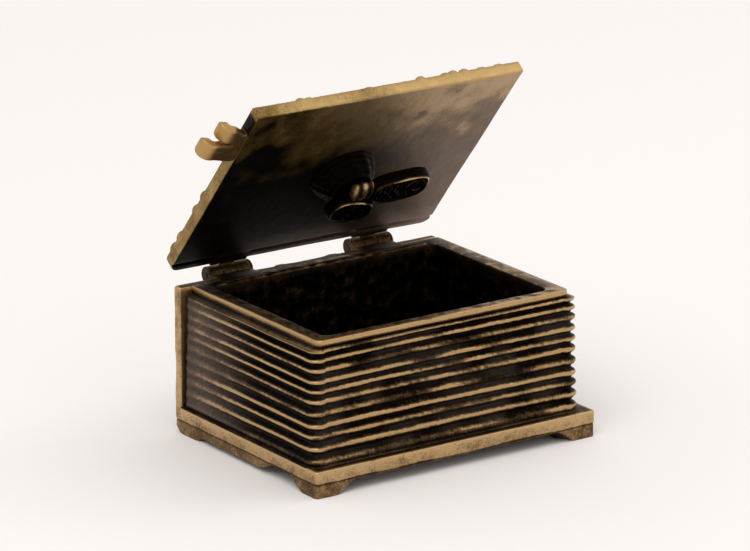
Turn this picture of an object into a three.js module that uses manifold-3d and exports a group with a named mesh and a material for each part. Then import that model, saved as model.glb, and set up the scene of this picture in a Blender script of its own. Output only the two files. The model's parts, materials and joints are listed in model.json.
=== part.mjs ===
// A cast brass trinket box in the form of a closed book that lies flat on four bracket feet.
// The front cover is the lid. It swings on two three-knuckle hinges behind the spine.
//
// Units are millimetres. +X runs along the long side of the book, -Y is the fore edge,
// +Y is the spine and +Z is up. The lid is modelled shut and then turned to restOpening.
// The origin ends up under the middle of the whole box, on the surface it stands on.

import * as THREE from 'three';
import { mergeVertices } from 'three/addons/utils/BufferGeometryUtils.js';
import Module from 'manifold-3d';

const wasm = await Module();
wasm.setup();

// ---------- driving dimensions ----------

const seatGap = 0.3;              // between pieces that rest on each other

const coverLength = 90;           // bottom cover, along X
const coverDepth = 67.5;          // bottom cover, along Y
const coverThickness = 3.6;
const coverCorner = 1.4;

const footHeight = 3.7;
const footReach = 12.6;           // length of each arm of a bracket foot
const footWidth = 4.4;
const footSlope = 2.2;            // how far an arm's end leans in towards the floor

const blockHeight = 33.6;         // page block, from the bottom cover to the rim
const rimInsetLeft = 3.8;         // from the bottom cover's edges to the rim
const rimInsetRight = 5.6;
const rimInsetFront = 4.4;
const rimHeight = 1.6;
const leafCount = 11;             // page ridges below the rim
const leafProudEnds = 2.2;        // page crests beyond the rim at the two ends
const leafProudFront = 0.4;
const leafGroove = 1.5;           // depth of the groove between two pages
const leafCorner = 1.8;
const leafCrest = 0.45;           // flat height of a page's crest
const leafSpread = 0.08;          // each page reaches this much past the one above it
const leafOverlap = 0.005;        // neighbouring pages sink into each other by this much
const endWall = 3.7;
const frontWall = 3.1;
const backWall = 2.5;

const spineThickness = 2.3;
const spineInset = 0.4;           // from the bottom cover's left edge to the spine's end
const bandCount = 4;              // raised bands across the spine
const bandWidth = 4;
const bandProud = 0.9;

const lidShortfall = 5.5;         // the lid and the spine stop short of the bottom cover's right end
const lidProudOfFore = 0.25;      // the shut lid's edge beyond the bottom cover's fore edge
const lidThickness = 3.4;
const lidCornerSpine = 4;
const lidCornerFront = 0.8;
const lidClosingGap = 0.6;        // between the rim and the shut lid
const lidProudOfSpine = 0.35;     // the shut lid's edge beyond the spine's back
const lidGrooveSetback = 2.75;    // joint groove on the lid's inner face
const lidGrooveWidth = 0.9;
const lidGrooveDepth = 0.6;
const restOpening = 50;           // degrees

const hingeSpacing = 46;          // between the middles of the two hinges
const knuckleLength = 4.1;
const knuckleCount = 3;
const knuckleRadius = 2.4;
const knuckleGap = 0.3;
const hingePinRadius = 1;
const hingePinClearance = 0.1;
const hingePinHeadHeight = 1.1;
const barrelBehindSpine = 1.65;   // from the spine's back face to the barrels
const hingeDrop = 0.5;            // from the rim down to the hinge axis
const hingeLeafThickness = 1;
const hingeLeafOnLid = 9.3;       // reach of the lid leaf over the lid's inner face
const hingeLeafSideRelief = 0.6;

const ribbonThickness = lidThickness;
const ribbonStart = 8;            // from the lid's front edge to the ribbon
const ribbonWidth = 10.4;
const ribbonShortTail = 7.4;
const ribbonLongTail = 10.6;
const ribbonLongTailStart = 4.4;  // along the lid's edge
const ribbonNotch = 5;
const ribbonCurlHeight = 2.6;     // tail tips above the lid's outer face
const ribbonCurlRadius = 2;

const borderWidth = 5;
const borderHeight = 0.9;
const borderMargin = 0.6;

// The owl's parts are half eggs. x and side place them from the middle of the lid.
const owlBody = { length: 30, width: 22, height: 5, x: -1 };
const owlHead = { length: 17, width: 21, height: 5.5, x: 16 };
const owlBeak = { length: 3.4, width: 3.4, height: 6, x: 14 };
const owlWing = { length: 28.5, width: 8.8, height: 4.4, x: -3, side: 9.2 };
const owlTuft = { length: 8.5, width: 4.6, height: 3.3, x: 23, side: 7.5 };
const owlEye = { length: 5, width: 5, height: 6.3, x: 17, side: 4.6 };
const perch = { length: 4.6, width: 38, height: 2.4 };

const bossRadius = 9.5;
const bossNeckRadius = 5.4;
const bossHeight = 6.4;
const bossShiftX = -1.5;          // from the middle of the lid
const bowTurn = 4;                // degrees, the long lobe's lean towards the lid's front edge
const bowShift = { x: 0.6, along: 3 };   // from the boss's middle, right and towards the front edge
const shortLobeBend = 71;         // degrees that the short lobe is bent back towards the hinges
const bowThickness = 3;
const bowSaddleLength = 4.4;
const bowSaddleWidth = 6;
const longLobeLength = 18;
const longLobeWidth = 10.4;
const shortLobeLength = 8;
const shortLobeWidth = 15;
const tabLength = 4.4;
const tabReach = 2.6;
const tabStart = 7.2;             // from the saddle along the long lobe

// ---------- places worked out from the dimensions ----------

const coverUnder = footHeight;
const coverTop = coverUnder + coverThickness;
const rimTop = coverTop + blockHeight;
const leftEnd = -coverLength / 2;
const rightEnd = coverLength / 2;
const foreEdge = -coverDepth / 2;
const spineBack = coverDepth / 2;
const spineFront = spineBack - spineThickness;
const blockBack = spineFront - seatGap;
const rimLeft = leftEnd + rimInsetLeft;
const rimRight = rightEnd - rimInsetRight;
const rimFront = foreEdge + rimInsetFront;
const cavityBack = blockBack - backWall;

const lidLeft = leftEnd;
const lidRight = rightEnd - lidShortfall;
const lidMiddleX = (lidLeft + lidRight) / 2;
const lidInner = rimTop + lidClosingGap;
const lidOuter = lidInner + lidThickness;
const lidBack = spineBack + lidProudOfSpine;
const lidFront = foreEdge - lidProudOfFore;
const lidMiddleY = (lidFront + lidBack) / 2;

const axisY = spineBack + barrelBehindSpine + knuckleRadius;
const axisZ = rimTop - hingeDrop;
const barrelLength = knuckleCount * knuckleLength + (knuckleCount - 1) * knuckleGap;
const leafEnd = axisY - knuckleRadius - knuckleGap;

// ---------- materials ----------

function brass(colour, roughness) {
  return new THREE.MeshStandardMaterial({ color: colour, roughness, metalness: 0.9 });
}

const coverBrass = () => brass(0x6b532c, 0.5);
const pageBrass = () => brass(0x5a4626, 0.5);
const hingeBrass = () => brass(0x4a3b22, 0.45);
const ornamentBrass = () => brass(0x7a6032, 0.45);

// ---------- joining and cutting ----------

function solidOf(geometry) {
  const bare = geometry.clone();
  bare.deleteAttribute('normal');
  bare.deleteAttribute('uv');
  const merged = mergeVertices(bare, 1e-4);
  return new wasm.Manifold(new wasm.Mesh({
    numProp: 3,
    vertProperties: new Float32Array(merged.attributes.position.array),
    triVerts: new Uint32Array(merged.index.array),
  }));
}

function geometryOf(solid) {
  const source = solid.getMesh();
  const geometry = new THREE.BufferGeometry();
  geometry.setAttribute('position', new THREE.BufferAttribute(source.vertProperties, 3));
  geometry.setIndex(new THREE.BufferAttribute(source.triVerts, 1));
  const faceted = geometry.toNonIndexed();
  faceted.computeVertexNormals();
  return faceted;
}

function joined(geometries) {
  return geometries.map(solidOf).reduce((sum, next) => sum.add(next));
}

function cutFrom(solid, geometries) {
  return geometries.map(solidOf).reduce((rest, next) => rest.subtract(next), solid);
}

function named(name, geometry, material) {
  const mesh = new THREE.Mesh(geometry, material);
  mesh.name = name;
  return mesh;
}

// ---------- basic shapes ----------

function block(x0, x1, y0, y1, z0, z1) {
  const geometry = new THREE.BoxGeometry(x1 - x0, y1 - y0, z1 - z0);
  geometry.translate((x0 + x1) / 2, (y0 + y1) / 2, (z0 + z1) / 2);
  return geometry;
}

function roundedShape(x0, x1, y0, y1, frontRadius, backRadius) {
  const shape = new THREE.Shape();
  shape.moveTo(x0 + frontRadius, y0);
  shape.absarc(x1 - frontRadius, y0 + frontRadius, frontRadius, -Math.PI / 2, 0, false);
  shape.absarc(x1 - backRadius, y1 - backRadius, backRadius, 0, Math.PI / 2, false);
  shape.absarc(x0 + backRadius, y1 - backRadius, backRadius, Math.PI / 2, Math.PI, false);
  shape.absarc(x0 + frontRadius, y0 + frontRadius, frontRadius, Math.PI, 1.5 * Math.PI, false);
  return shape;
}

function plate(shape, z0, z1, curveSegments = 4) {
  const geometry = new THREE.ExtrudeGeometry(shape, {
    depth: z1 - z0, bevelEnabled: false, curveSegments,
  });
  geometry.translate(0, 0, z0);
  return geometry;
}

// A half egg on a flat base: its profile is a quarter ellipse turned about the upright axis.
function dome(length, width, height) {
  const profile = [new THREE.Vector2(0, 0)];
  const steps = 5;
  for (let i = 0; i <= steps; i += 1) {
    const angle = (i / steps) * Math.PI / 2;
    const radius = i === steps ? 0 : Math.cos(angle);
    profile.push(new THREE.Vector2(radius, Math.sin(angle)));
  }
  const geometry = new THREE.LatheGeometry(profile, 20);
  geometry.rotateX(Math.PI / 2);
  geometry.scale(length / 2, width / 2, height);
  return geometry;
}

function rodAlongX(radius, x0, x1, y, z) {
  const geometry = new THREE.CylinderGeometry(radius, radius, x1 - x0, 24);
  geometry.rotateZ(Math.PI / 2);
  geometry.translate((x0 + x1) / 2, y, z);
  return geometry;
}

// ---------- bottom cover and feet ----------

function bottomCover() {
  const outline = roundedShape(leftEnd, rightEnd, foreEdge, spineBack, coverCorner, coverCorner);
  return named('bottom_cover', plate(outline, coverUnder, coverTop), coverBrass());
}

// A bracket foot is an L in plan whose two arms lean in towards the floor.
function bracketFoot(name, sideX, sideY) {
  const cornerX = sideX * coverLength / 2;
  const cornerY = sideY * coverDepth / 2;
  const across = (x, y) => [cornerX - sideX * x, cornerY - sideY * y];
  const shape = new THREE.Shape();
  shape.moveTo(...across(coverCorner, 0));
  shape.lineTo(...across(footReach, 0));
  shape.lineTo(...across(footReach - footSlope, footWidth));
  shape.lineTo(...across(footWidth, footWidth));
  shape.lineTo(...across(footWidth, footReach - footSlope));
  shape.lineTo(...across(0, footReach));
  shape.lineTo(...across(0, coverCorner));
  return named(name, plate(shape, 0, coverUnder - seatGap), coverBrass());
}

// ---------- spine ----------

function spine() {
  const x0 = leftEnd + spineInset;
  const x1 = lidRight - spineInset;
  const z0 = coverTop + seatGap;
  const pieces = [block(x0, x1, spineFront, spineBack, z0, rimTop)];
  const pitch = (x1 - x0) / bandCount;
  for (let i = 0; i < bandCount; i += 1) {
    const band = new THREE.CylinderGeometry(bandWidth / 2, bandWidth / 2, rimTop - z0, 16);
    band.rotateX(Math.PI / 2);
    band.scale(1, 2 * bandProud / bandWidth, 1);
    band.translate(x0 + pitch * (i + 0.5), spineBack, (z0 + rimTop) / 2);
    pieces.push(band);
  }
  return named('spine', geometryOf(cutFrom(joined(pieces), hingePockets())), coverBrass());
}

// ---------- page block ----------

// One page edge: full size along its crest and set in by the groove at its two faces.
function leaf(spread, zMiddle, pitch) {
  const shape = roundedShape(
    rimLeft - leafProudEnds - spread, rimRight + leafProudEnds + spread,
    rimFront - leafProudFront - spread, blockBack + leafGroove + leafCorner,
    leafCorner, leafCorner,
  );
  const geometry = new THREE.ExtrudeGeometry(shape, {
    depth: leafCrest,
    bevelEnabled: true,
    bevelThickness: (pitch + leafOverlap - leafCrest) / 2,
    bevelSize: leafGroove,
    bevelOffset: -leafGroove,
    bevelSegments: 1,
    curveSegments: 2,
  });
  geometry.translate(0, 0, zMiddle - leafCrest / 2);
  return geometry;
}

function pageBlock() {
  const z0 = coverTop + seatGap;
  const pitch = (rimTop - rimHeight - z0) / leafCount;
  const pieces = [];
  for (let i = 0; i < leafCount; i += 1) {
    pieces.push(leaf(leafSpread * (leafCount - 1 - i), z0 + pitch * (i + 0.5), pitch));
  }
  const rim = roundedShape(rimLeft, rimRight, rimFront, blockBack, leafCorner, leafCorner);
  pieces.push(plate(rim, rimTop - rimHeight - pitch / 2, rimTop, 2));
  const behind = block(2 * leftEnd, 2 * rightEnd, blockBack, 2 * spineBack, 0, 2 * rimTop);
  const below = block(2 * leftEnd, 2 * rightEnd, 2 * foreEdge, 2 * spineBack, 0, z0);
  const cavity = block(
    rimLeft + endWall, rimRight - endWall, rimFront + frontWall, cavityBack, 0, 2 * rimTop,
  );
  const walls = cutFrom(joined(pieces), [behind, below, cavity, ...hingePockets()]);
  return named('page_block', geometryOf(walls), pageBrass());
}

// ---------- hinges ----------

const hingeMiddles = { left: lidMiddleX - hingeSpacing / 2, right: lidMiddleX + hingeSpacing / 2 };

function knuckleSpan(middle, index) {
  const start = middle - barrelLength / 2 + index * (knuckleLength + knuckleGap);
  return [start, start + knuckleLength];
}

// Pockets in the rim that the box leaves lie in, level with its top.
function hingePockets() {
  return Object.values(hingeMiddles).map((middle) => block(
    middle - barrelLength / 2 - seatGap, middle + barrelLength / 2 + seatGap,
    cavityBack - seatGap, leafEnd + seatGap,
    rimTop - hingeLeafThickness - seatGap, rimTop + seatGap,
  ));
}

// Pockets in the lid's inner face that the lid leaves lie in.
function lidPockets() {
  const half = barrelLength / 2 - hingeLeafSideRelief + seatGap;
  return Object.values(hingeMiddles).map((middle) => block(
    middle - half, middle + half,
    lidBack - hingeLeafOnLid - seatGap, lidBack + seatGap,
    lidInner - seatGap, lidInner + hingeLeafThickness + seatGap,
  ));
}

function hingeBore(middle) {
  const half = barrelLength / 2 + knuckleGap;
  return rodAlongX(hingePinRadius + hingePinClearance, middle - half, middle + half, axisY, axisZ);
}

function boxLeaf(side) {
  const middle = hingeMiddles[side];
  const z0 = rimTop - hingeLeafThickness;
  const half = barrelLength / 2;
  const pieces = [block(middle - half, middle + half, cavityBack, leafEnd, z0, rimTop)];
  for (const index of [0, knuckleCount - 1]) {
    const [x0, x1] = knuckleSpan(middle, index);
    pieces.push(rodAlongX(knuckleRadius, x0, x1, axisY, axisZ));
    pieces.push(block(x0, x1, leafEnd - knuckleGap, axisY - hingePinRadius, z0, rimTop));
  }
  const solid = cutFrom(joined(pieces), [hingeBore(middle)]);
  return named(`hinge_${side}_box_leaf`, geometryOf(solid), hingeBrass());
}

function lidLeaf(side) {
  const middle = hingeMiddles[side];
  const z1 = lidInner + hingeLeafThickness;
  const half = barrelLength / 2 - hingeLeafSideRelief;
  const [x0, x1] = knuckleSpan(middle, 1);
  const pieces = [
    block(middle - half, middle + half, lidBack - hingeLeafOnLid, leafEnd, lidInner, z1),
    block(x0, x1, leafEnd - knuckleGap, axisY, lidInner, z1),
    rodAlongX(knuckleRadius, x0, x1, axisY, axisZ),
  ];
  const solid = cutFrom(joined(pieces), [hingeBore(middle)]);
  return named(`hinge_${side}_lid_leaf`, geometryOf(solid), hingeBrass());
}

// A plain pin with a domed head that covers the barrel's right end.
function hingePin(side) {
  const half = barrelLength / 2;
  const headSteps = 4;
  const profile = [
    new THREE.Vector2(0, -half),
    new THREE.Vector2(hingePinRadius, -half),
    new THREE.Vector2(hingePinRadius, half + seatGap),
  ];
  for (let i = 0; i <= headSteps; i += 1) {
    const angle = (i / headSteps) * Math.PI / 2;
    const radius = i === headSteps ? 0 : knuckleRadius * Math.cos(angle);
    profile.push(new THREE.Vector2(radius, half + seatGap + hingePinHeadHeight * Math.sin(angle)));
  }
  const geometry = new THREE.LatheGeometry(profile, 24);
  geometry.rotateZ(-Math.PI / 2);
  geometry.translate(hingeMiddles[side], axisY, axisZ);
  return named(`hinge_${side}_pin`, geometry, hingeBrass());
}

// ---------- lid ----------

function lidCover() {
  const outline = roundedShape(
    lidLeft, lidRight, lidFront, lidBack, lidCornerFront, lidCornerSpine,
  );
  const grooveY = lidBack - lidGrooveSetback;
  const groove = block(
    2 * leftEnd, 2 * rightEnd, grooveY - lidGrooveWidth, grooveY,
    lidInner - seatGap, lidInner + lidGrooveDepth,
  );
  const solid = cutFrom(solidOf(plate(outline, lidInner, lidOuter)), [groove, ...lidPockets()]);
  return named('lid_cover', geometryOf(solid), coverBrass());
}

// The forked end of a ribbon that hangs over the lid's left edge, its two tails curled up.
function ribbonTail() {
  const edge = lidLeft - seatGap;
  const at = (out, along) => [edge - out, lidFront + ribbonStart + along];
  const shape = new THREE.Shape();
  shape.moveTo(...at(0, 0));
  shape.lineTo(...at(ribbonShortTail, -ribbonCurlRadius));
  shape.lineTo(...at(ribbonShortTail, ribbonCurlRadius));
  shape.lineTo(...at(ribbonNotch, ribbonLongTailStart));
  shape.lineTo(...at(ribbonLongTail, ribbonLongTailStart));
  shape.lineTo(...at(ribbonLongTail, ribbonLongTailStart + 2 * ribbonCurlRadius));
  shape.lineTo(...at(ribbonNotch, ribbonWidth));
  shape.lineTo(...at(0, ribbonWidth));
  const pieces = [plate(shape, lidInner, lidInner + ribbonThickness)];
  const tips = [
    at(ribbonShortTail - ribbonCurlRadius, 0),
    at(ribbonLongTail - ribbonCurlRadius, ribbonLongTailStart + ribbonCurlRadius),
  ];
  for (const [x, y] of tips) {
    const height = ribbonThickness + ribbonCurlHeight;
    const curl = new THREE.CylinderGeometry(ribbonCurlRadius, ribbonCurlRadius, height, 16);
    curl.rotateX(Math.PI / 2);
    curl.translate(x, y, lidInner + height / 2);
    pieces.push(curl);
  }
  return named('ribbon_tail', geometryOf(joined(pieces)), ornamentBrass());
}

// A low frame of foliage that runs round the outer face of the lid.
function foliageBorder() {
  const x0 = lidLeft + borderMargin;
  const x1 = lidRight - borderMargin;
  const y0 = lidFront + borderMargin;
  const y1 = lidBack - borderMargin;
  const w = borderWidth;
  const shape = roundedShape(x0, x1, y0, y1, lidCornerFront, lidCornerSpine);
  shape.holes.push(roundedShape(x0 + w, x1 - w, y0 + w, y1 - w, lidCornerFront, lidCornerFront));
  const z0 = lidOuter + seatGap;
  return named('foliage_border', plate(shape, z0, z0 + borderHeight), ornamentBrass());
}

// A half egg that stands on the lid's outer face.
function onLid(size, side = 0) {
  const geometry = dome(size.length, size.width, size.height);
  geometry.translate(lidMiddleX + size.x, lidMiddleY + side, lidOuter + seatGap);
  return geometry;
}

// The owl lies along X with its head towards +X, as on a book held upright.
function owlRelief() {
  const pieces = [owlBody, owlHead, owlBeak].map((size) => onLid(size));
  for (const size of [owlWing, owlTuft, owlEye]) {
    pieces.push(onLid(size, size.side), onLid(size, -size.side));
  }
  return named('owl_relief', geometryOf(joined(pieces)), ornamentBrass());
}

function perchRelief() {
  const x = owlWing.x - owlWing.length / 2 - seatGap - perch.length / 2;
  return named('perch_relief', onLid({ ...perch, x }), ornamentBrass());
}

// ---------- ornament under the lid ----------

const bowLevel = lidInner - bossHeight - 2 * seatGap;

function bossUnderLid() {
  const profile = [
    new THREE.Vector2(0, 0),
    new THREE.Vector2(bossNeckRadius, 0),
    new THREE.Vector2(bossNeckRadius * 1.12, bossHeight * 0.35),
    new THREE.Vector2(bossRadius * 0.84, bossHeight * 0.72),
    new THREE.Vector2(bossRadius, bossHeight * 0.88),
    new THREE.Vector2(bossRadius, bossHeight),
    new THREE.Vector2(0, bossHeight),
  ];
  const geometry = new THREE.LatheGeometry(profile, 28);
  geometry.rotateX(Math.PI / 2);
  geometry.translate(lidMiddleX + bossShiftX, lidMiddleY, bowLevel + seatGap);
  return named('bow_boss', geometry, ornamentBrass());
}

// The bow is a saddle over the boss with a long lobe along its own x axis and a short lobe
// on the other side, bent back towards the hinges.
function bowPiece(name, geometries) {
  for (const geometry of geometries) {
    geometry.rotateZ(THREE.MathUtils.degToRad(-bowTurn));
    geometry.translate(lidMiddleX + bossShiftX + bowShift.x, lidMiddleY - bowShift.along, 0);
  }
  return named(name, geometryOf(joined(geometries)), ornamentBrass());
}

// A tongue with a round end that reaches towards +x from its start.
function lobe(start, length, width) {
  const radius = width / 2;
  const shape = new THREE.Shape();
  shape.moveTo(start, -bowSaddleWidth / 2);
  shape.absarc(start + length - radius, 0, radius, -Math.PI / 2, Math.PI / 2, false);
  shape.lineTo(start, bowSaddleWidth / 2);
  return plate(shape, bowLevel - bowThickness, bowLevel, 6);
}

function bow() {
  const z0 = bowLevel - bowThickness;
  const halfLength = bowSaddleLength / 2;
  const halfWidth = bowSaddleWidth / 2;
  const saddle = block(-halfLength, halfLength, -halfWidth, halfWidth, z0, bowLevel);
  const bend = THREE.MathUtils.degToRad(shortLobeBend);
  const saddleCorner = halfLength * Math.cos(bend) + halfWidth * Math.sin(bend);
  const shortLobe = lobe(saddleCorner + seatGap, shortLobeLength, shortLobeWidth);
  shortLobe.rotateZ(Math.PI - bend);
  const tab = block(
    halfLength + tabStart, halfLength + tabStart + tabLength,
    longLobeWidth / 2 - tabReach, longLobeWidth / 2 + tabReach, z0 + seatGap, bowLevel - seatGap,
  );
  return [
    bowPiece('bow_saddle', [saddle]),
    bowPiece('bow_long_lobe', [lobe(halfLength + seatGap, longLobeLength, longLobeWidth), tab]),
    bowPiece('bow_short_lobe', [shortLobe]),
  ];
}

// ---------- assembly ----------

const base = new THREE.Group();
base.add(bottomCover());
base.add(bracketFoot('foot_front_left', -1, -1));
base.add(bracketFoot('foot_front_right', 1, -1));
base.add(bracketFoot('foot_rear_left', -1, 1));
base.add(bracketFoot('foot_rear_right', 1, 1));
base.add(spine());
base.add(pageBlock());

const lid = new THREE.Group();
lid.add(lidCover());
lid.add(ribbonTail());
lid.add(foliageBorder());
lid.add(owlRelief());
lid.add(perchRelief());
lid.add(bossUnderLid());
lid.add(...bow());

for (const side of Object.keys(hingeMiddles)) {
  base.add(boxLeaf(side));
  base.add(hingePin(side));
  lid.add(lidLeaf(side));
}

// The lid turns about the hinge axis: its group sits on the axis and its pieces are set back.
const lidSwing = new THREE.Group();
lid.position.set(0, -axisY, -axisZ);
lidSwing.add(lid);
lidSwing.position.set(0, axisY, axisZ);
lidSwing.rotation.x = THREE.MathUtils.degToRad(-restOpening);

const book = new THREE.Group();
book.add(base, lidSwing);
book.updateMatrixWorld(true);
const bounds = new THREE.Box3().setFromObject(book, true);
const middle = bounds.getCenter(new THREE.Vector3());
book.position.set(-middle.x, -middle.y, -bounds.min.z);
book.updateMatrixWorld(true);

const trinketBox = new THREE.Group();
trinketBox.add(book);

export default trinketBox;
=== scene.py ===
import json
import math

import bmesh
import bpy
import numpy as np
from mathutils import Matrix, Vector


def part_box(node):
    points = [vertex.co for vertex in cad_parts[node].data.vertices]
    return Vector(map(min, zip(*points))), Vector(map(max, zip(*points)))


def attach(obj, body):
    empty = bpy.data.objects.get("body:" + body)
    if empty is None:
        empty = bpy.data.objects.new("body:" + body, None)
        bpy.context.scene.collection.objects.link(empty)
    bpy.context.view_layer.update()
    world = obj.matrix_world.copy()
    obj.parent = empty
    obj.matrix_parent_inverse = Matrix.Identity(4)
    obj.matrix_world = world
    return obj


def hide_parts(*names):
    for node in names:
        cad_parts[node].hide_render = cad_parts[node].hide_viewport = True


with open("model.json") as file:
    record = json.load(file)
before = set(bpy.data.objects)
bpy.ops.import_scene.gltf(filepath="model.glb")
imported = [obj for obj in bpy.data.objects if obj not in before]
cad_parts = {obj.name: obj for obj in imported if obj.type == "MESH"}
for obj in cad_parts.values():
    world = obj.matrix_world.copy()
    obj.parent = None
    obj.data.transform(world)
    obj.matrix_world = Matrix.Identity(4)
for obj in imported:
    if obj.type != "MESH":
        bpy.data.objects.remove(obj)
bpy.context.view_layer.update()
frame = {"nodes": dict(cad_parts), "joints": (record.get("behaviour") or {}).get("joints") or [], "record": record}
MM = 0.001


# ---- Studio -------------------------------------------------------------------------------
# A seamless pale sweep under an even white sky, one large soft box high on the left and a
# weaker one on the right. The long lens looks from the front left, a little above the box.

def linear(hex_colour):
    """sRGB hex to linear RGBA: each channel c becomes ((c + 0.055) / 1.055) ** 2.4."""
    channels = [int(hex_colour[i:i + 2], 16) / 255 for i in (1, 3, 5)]
    return tuple(c / 12.92 if c < 0.04045 else ((c + 0.055) / 1.055) ** 2.4 for c in channels) + (1.0,)


def add(tree, kind, settings=None, links=None):
    """Adds one node. Settings are properties or input values, links feed inputs from sockets."""
    node = tree.nodes.new(kind)
    for key, value in (settings or {}).items():
        if isinstance(key, int) or key in node.inputs:
            node.inputs[key].default_value = value
        else:
            setattr(node, key, value)
    for key, socket in (links or {}).items():
        tree.links.new(socket, node.inputs[key])
    return node


scene = bpy.context.scene
scene.view_settings.view_transform = "Standard"

VIEW_AZIMUTH, VIEW_ELEVATION = math.radians(-34.67), math.radians(16.92)
VIEW_DISTANCE, SENSOR, LENS = 1.3248, 36.0, 240.0     # metres, then millimetres
AIM_RIGHT, AIM_HEIGHT = 41.7, 44.84    # the lens aims here, from the cover's left end and the table
cover_low, cover_high = (np.array(corner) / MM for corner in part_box("bottom_cover"))
look_at = Vector((cover_low[0] + AIM_RIGHT, (cover_low[1] + cover_high[1]) / 2, AIM_HEIGHT)) * MM
look_from = Vector((math.sin(VIEW_AZIMUTH) * math.cos(VIEW_ELEVATION),
                    -math.cos(VIEW_AZIMUTH) * math.cos(VIEW_ELEVATION), math.sin(VIEW_ELEVATION)))
camera_data = bpy.data.cameras.new("camera")
camera_data.sensor_width = SENSOR
camera_data.lens = LENS
camera = bpy.data.objects.new("camera", camera_data)
camera.location = look_at + look_from * VIEW_DISTANCE
camera.rotation_euler = (-look_from).to_track_quat("-Z", "Y").to_euler()
scene.collection.objects.link(camera)
scene.camera = camera

SKY_STRENGTH = 0.82
world = bpy.data.worlds.new("studio_sky")
scene.world = world
world.use_nodes = True
world.node_tree.nodes["Background"].inputs["Color"].default_value = linear("#fffdfb")
world.node_tree.nodes["Background"].inputs["Strength"].default_value = SKY_STRENGTH

# name, power in watts, side in metres, place in metres
for lamp, power, size, place in (("soft_box_left", 9.0, 1.2, (-1.0, -0.7, 1.5)),
                                 ("soft_box_right", 3.0, 0.9, (1.3, -0.3, 1.1))):
    lamp_data = bpy.data.lights.new(lamp, "AREA")
    lamp_data.energy = power
    lamp_data.size = size
    lamp_object = bpy.data.objects.new(lamp, lamp_data)
    lamp_object.location = place
    lamp_object.rotation_euler = (-Vector(place)).to_track_quat("-Z", "Y").to_euler()
    scene.collection.objects.link(lamp_object)

FLOOR_HALF = 6.0               # metres
floor_mesh = bpy.data.meshes.new("studio_floor")
floor_corners = [(-FLOOR_HALF, -FLOOR_HALF, 0), (FLOOR_HALF, -FLOOR_HALF, 0),
                 (FLOOR_HALF, FLOOR_HALF, 0), (-FLOOR_HALF, FLOOR_HALF, 0)]
floor_mesh.from_pydata(floor_corners, [], [(0, 1, 2, 3)])
floor = bpy.data.objects.new("studio_floor", floor_mesh)
scene.collection.objects.link(floor)
paper = bpy.data.materials.new("matt_backdrop_paper")
paper.use_nodes = True
paper_bsdf = paper.node_tree.nodes["Principled BSDF"]
paper_bsdf.inputs["Base Color"].default_value = linear("#fbf8f6")
paper_bsdf.inputs["Roughness"].default_value = 0.9
paper_bsdf.inputs["Specular IOR Level"].default_value = 0.1
floor_mesh.materials.append(paper)


# ---- Bottom cover and bracket feet -----------------------------------------------------------
# The back board of the book and its four feet are one sand casting in yellow brass. It was
# pickled dark and rubbed by hand, so the flats keep a brown film and every arris is bright.

def wavy(points, size, seed, waves=36):
    """Smooth noise with mean 0 and spread 1 at points in mm: the sum of sines in random directions,
    each with a wavelength near size."""
    draw = np.random.default_rng(seed)
    way = draw.normal(size=(waves, 3))
    way *= 2 * np.pi / size * draw.uniform(0.6, 1.7, (waves, 1)) / np.linalg.norm(way, axis=1, keepdims=True)
    return np.sin(points @ way.T + draw.uniform(0, 2 * np.pi, waves)).sum(-1) / math.sqrt(waves / 2)


def smooth(value, start, end):
    """0 below start, 1 above end, and the cubic 3t^2 - 2t^3 between them."""
    t = np.clip((value - start) / (end - start), 0, 1)
    return t * t * (3 - 2 * t)


def surface_faces(rows, columns, first=0):
    """Quads of a grid whose columns close on themselves: (i, j), (i+1, j), (i+1, j+1), (i, j+1)."""
    i = np.arange(rows - 1)[:, None]
    j = np.arange(columns)[None, :]
    k = (j + 1) % columns
    quads = (i * columns + j, (i + 1) * columns + j, (i + 1) * columns + k, i * columns + k)
    return (first + np.stack(quads, axis=-1).reshape(-1, 4)).tolist()


def capped(grid, first=0):
    """Points and faces of a stack of closed rings, each end closed by a fan to that ring's middle."""
    rows, columns = grid.shape[:2]
    points = np.concatenate([grid.reshape(-1, 3), grid[:1].mean(1), grid[-1:].mean(1)])
    j = np.arange(columns)
    k = (j + 1) % columns
    low, high = rows * columns, rows * columns + 1
    fans = np.concatenate([np.stack([low + 0 * j, j, k], 1),
                           np.stack([high + 0 * j, (rows - 1) * columns + k, (rows - 1) * columns + j], 1)])
    return points, surface_faces(rows, columns, first) + (first + fans).tolist()


def piece(name, points, faces, body, material, rub, haze=0.0, replaced=(), crease=42.0):
    """A new object from points in mm. Its rub is 0 in a hollow to 1 on a crest, and on the lid, its
    straps, the ribbon and the bow it also holds painted reflection, shade and highlight. Its grey film value
    is dry grey film, and a painted grey sheen on the lid's inner face and the right hinge strap.
    """
    mesh = bpy.data.meshes.new(name)
    mesh.from_pydata((np.asarray(points) * MM).tolist(), [], faces)
    for key, values in (("rub", rub), ("haze", haze)):
        wear = mesh.attributes.new(key, "FLOAT", "POINT")
        wear.data.foreach_set("value", (np.zeros(len(points)) + values).astype(np.float32))
    work = bmesh.new()
    work.from_mesh(mesh)
    bmesh.ops.recalc_face_normals(work, faces=work.faces)
    work.to_mesh(mesh)
    work.free()
    mesh.shade_smooth()
    mesh.set_sharp_from_angle(angle=math.radians(crease))
    mesh.materials.append(material)
    made = bpy.data.objects.new(name, mesh)
    scene.collection.objects.link(made)
    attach(made, body)
    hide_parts(*replaced)


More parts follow.
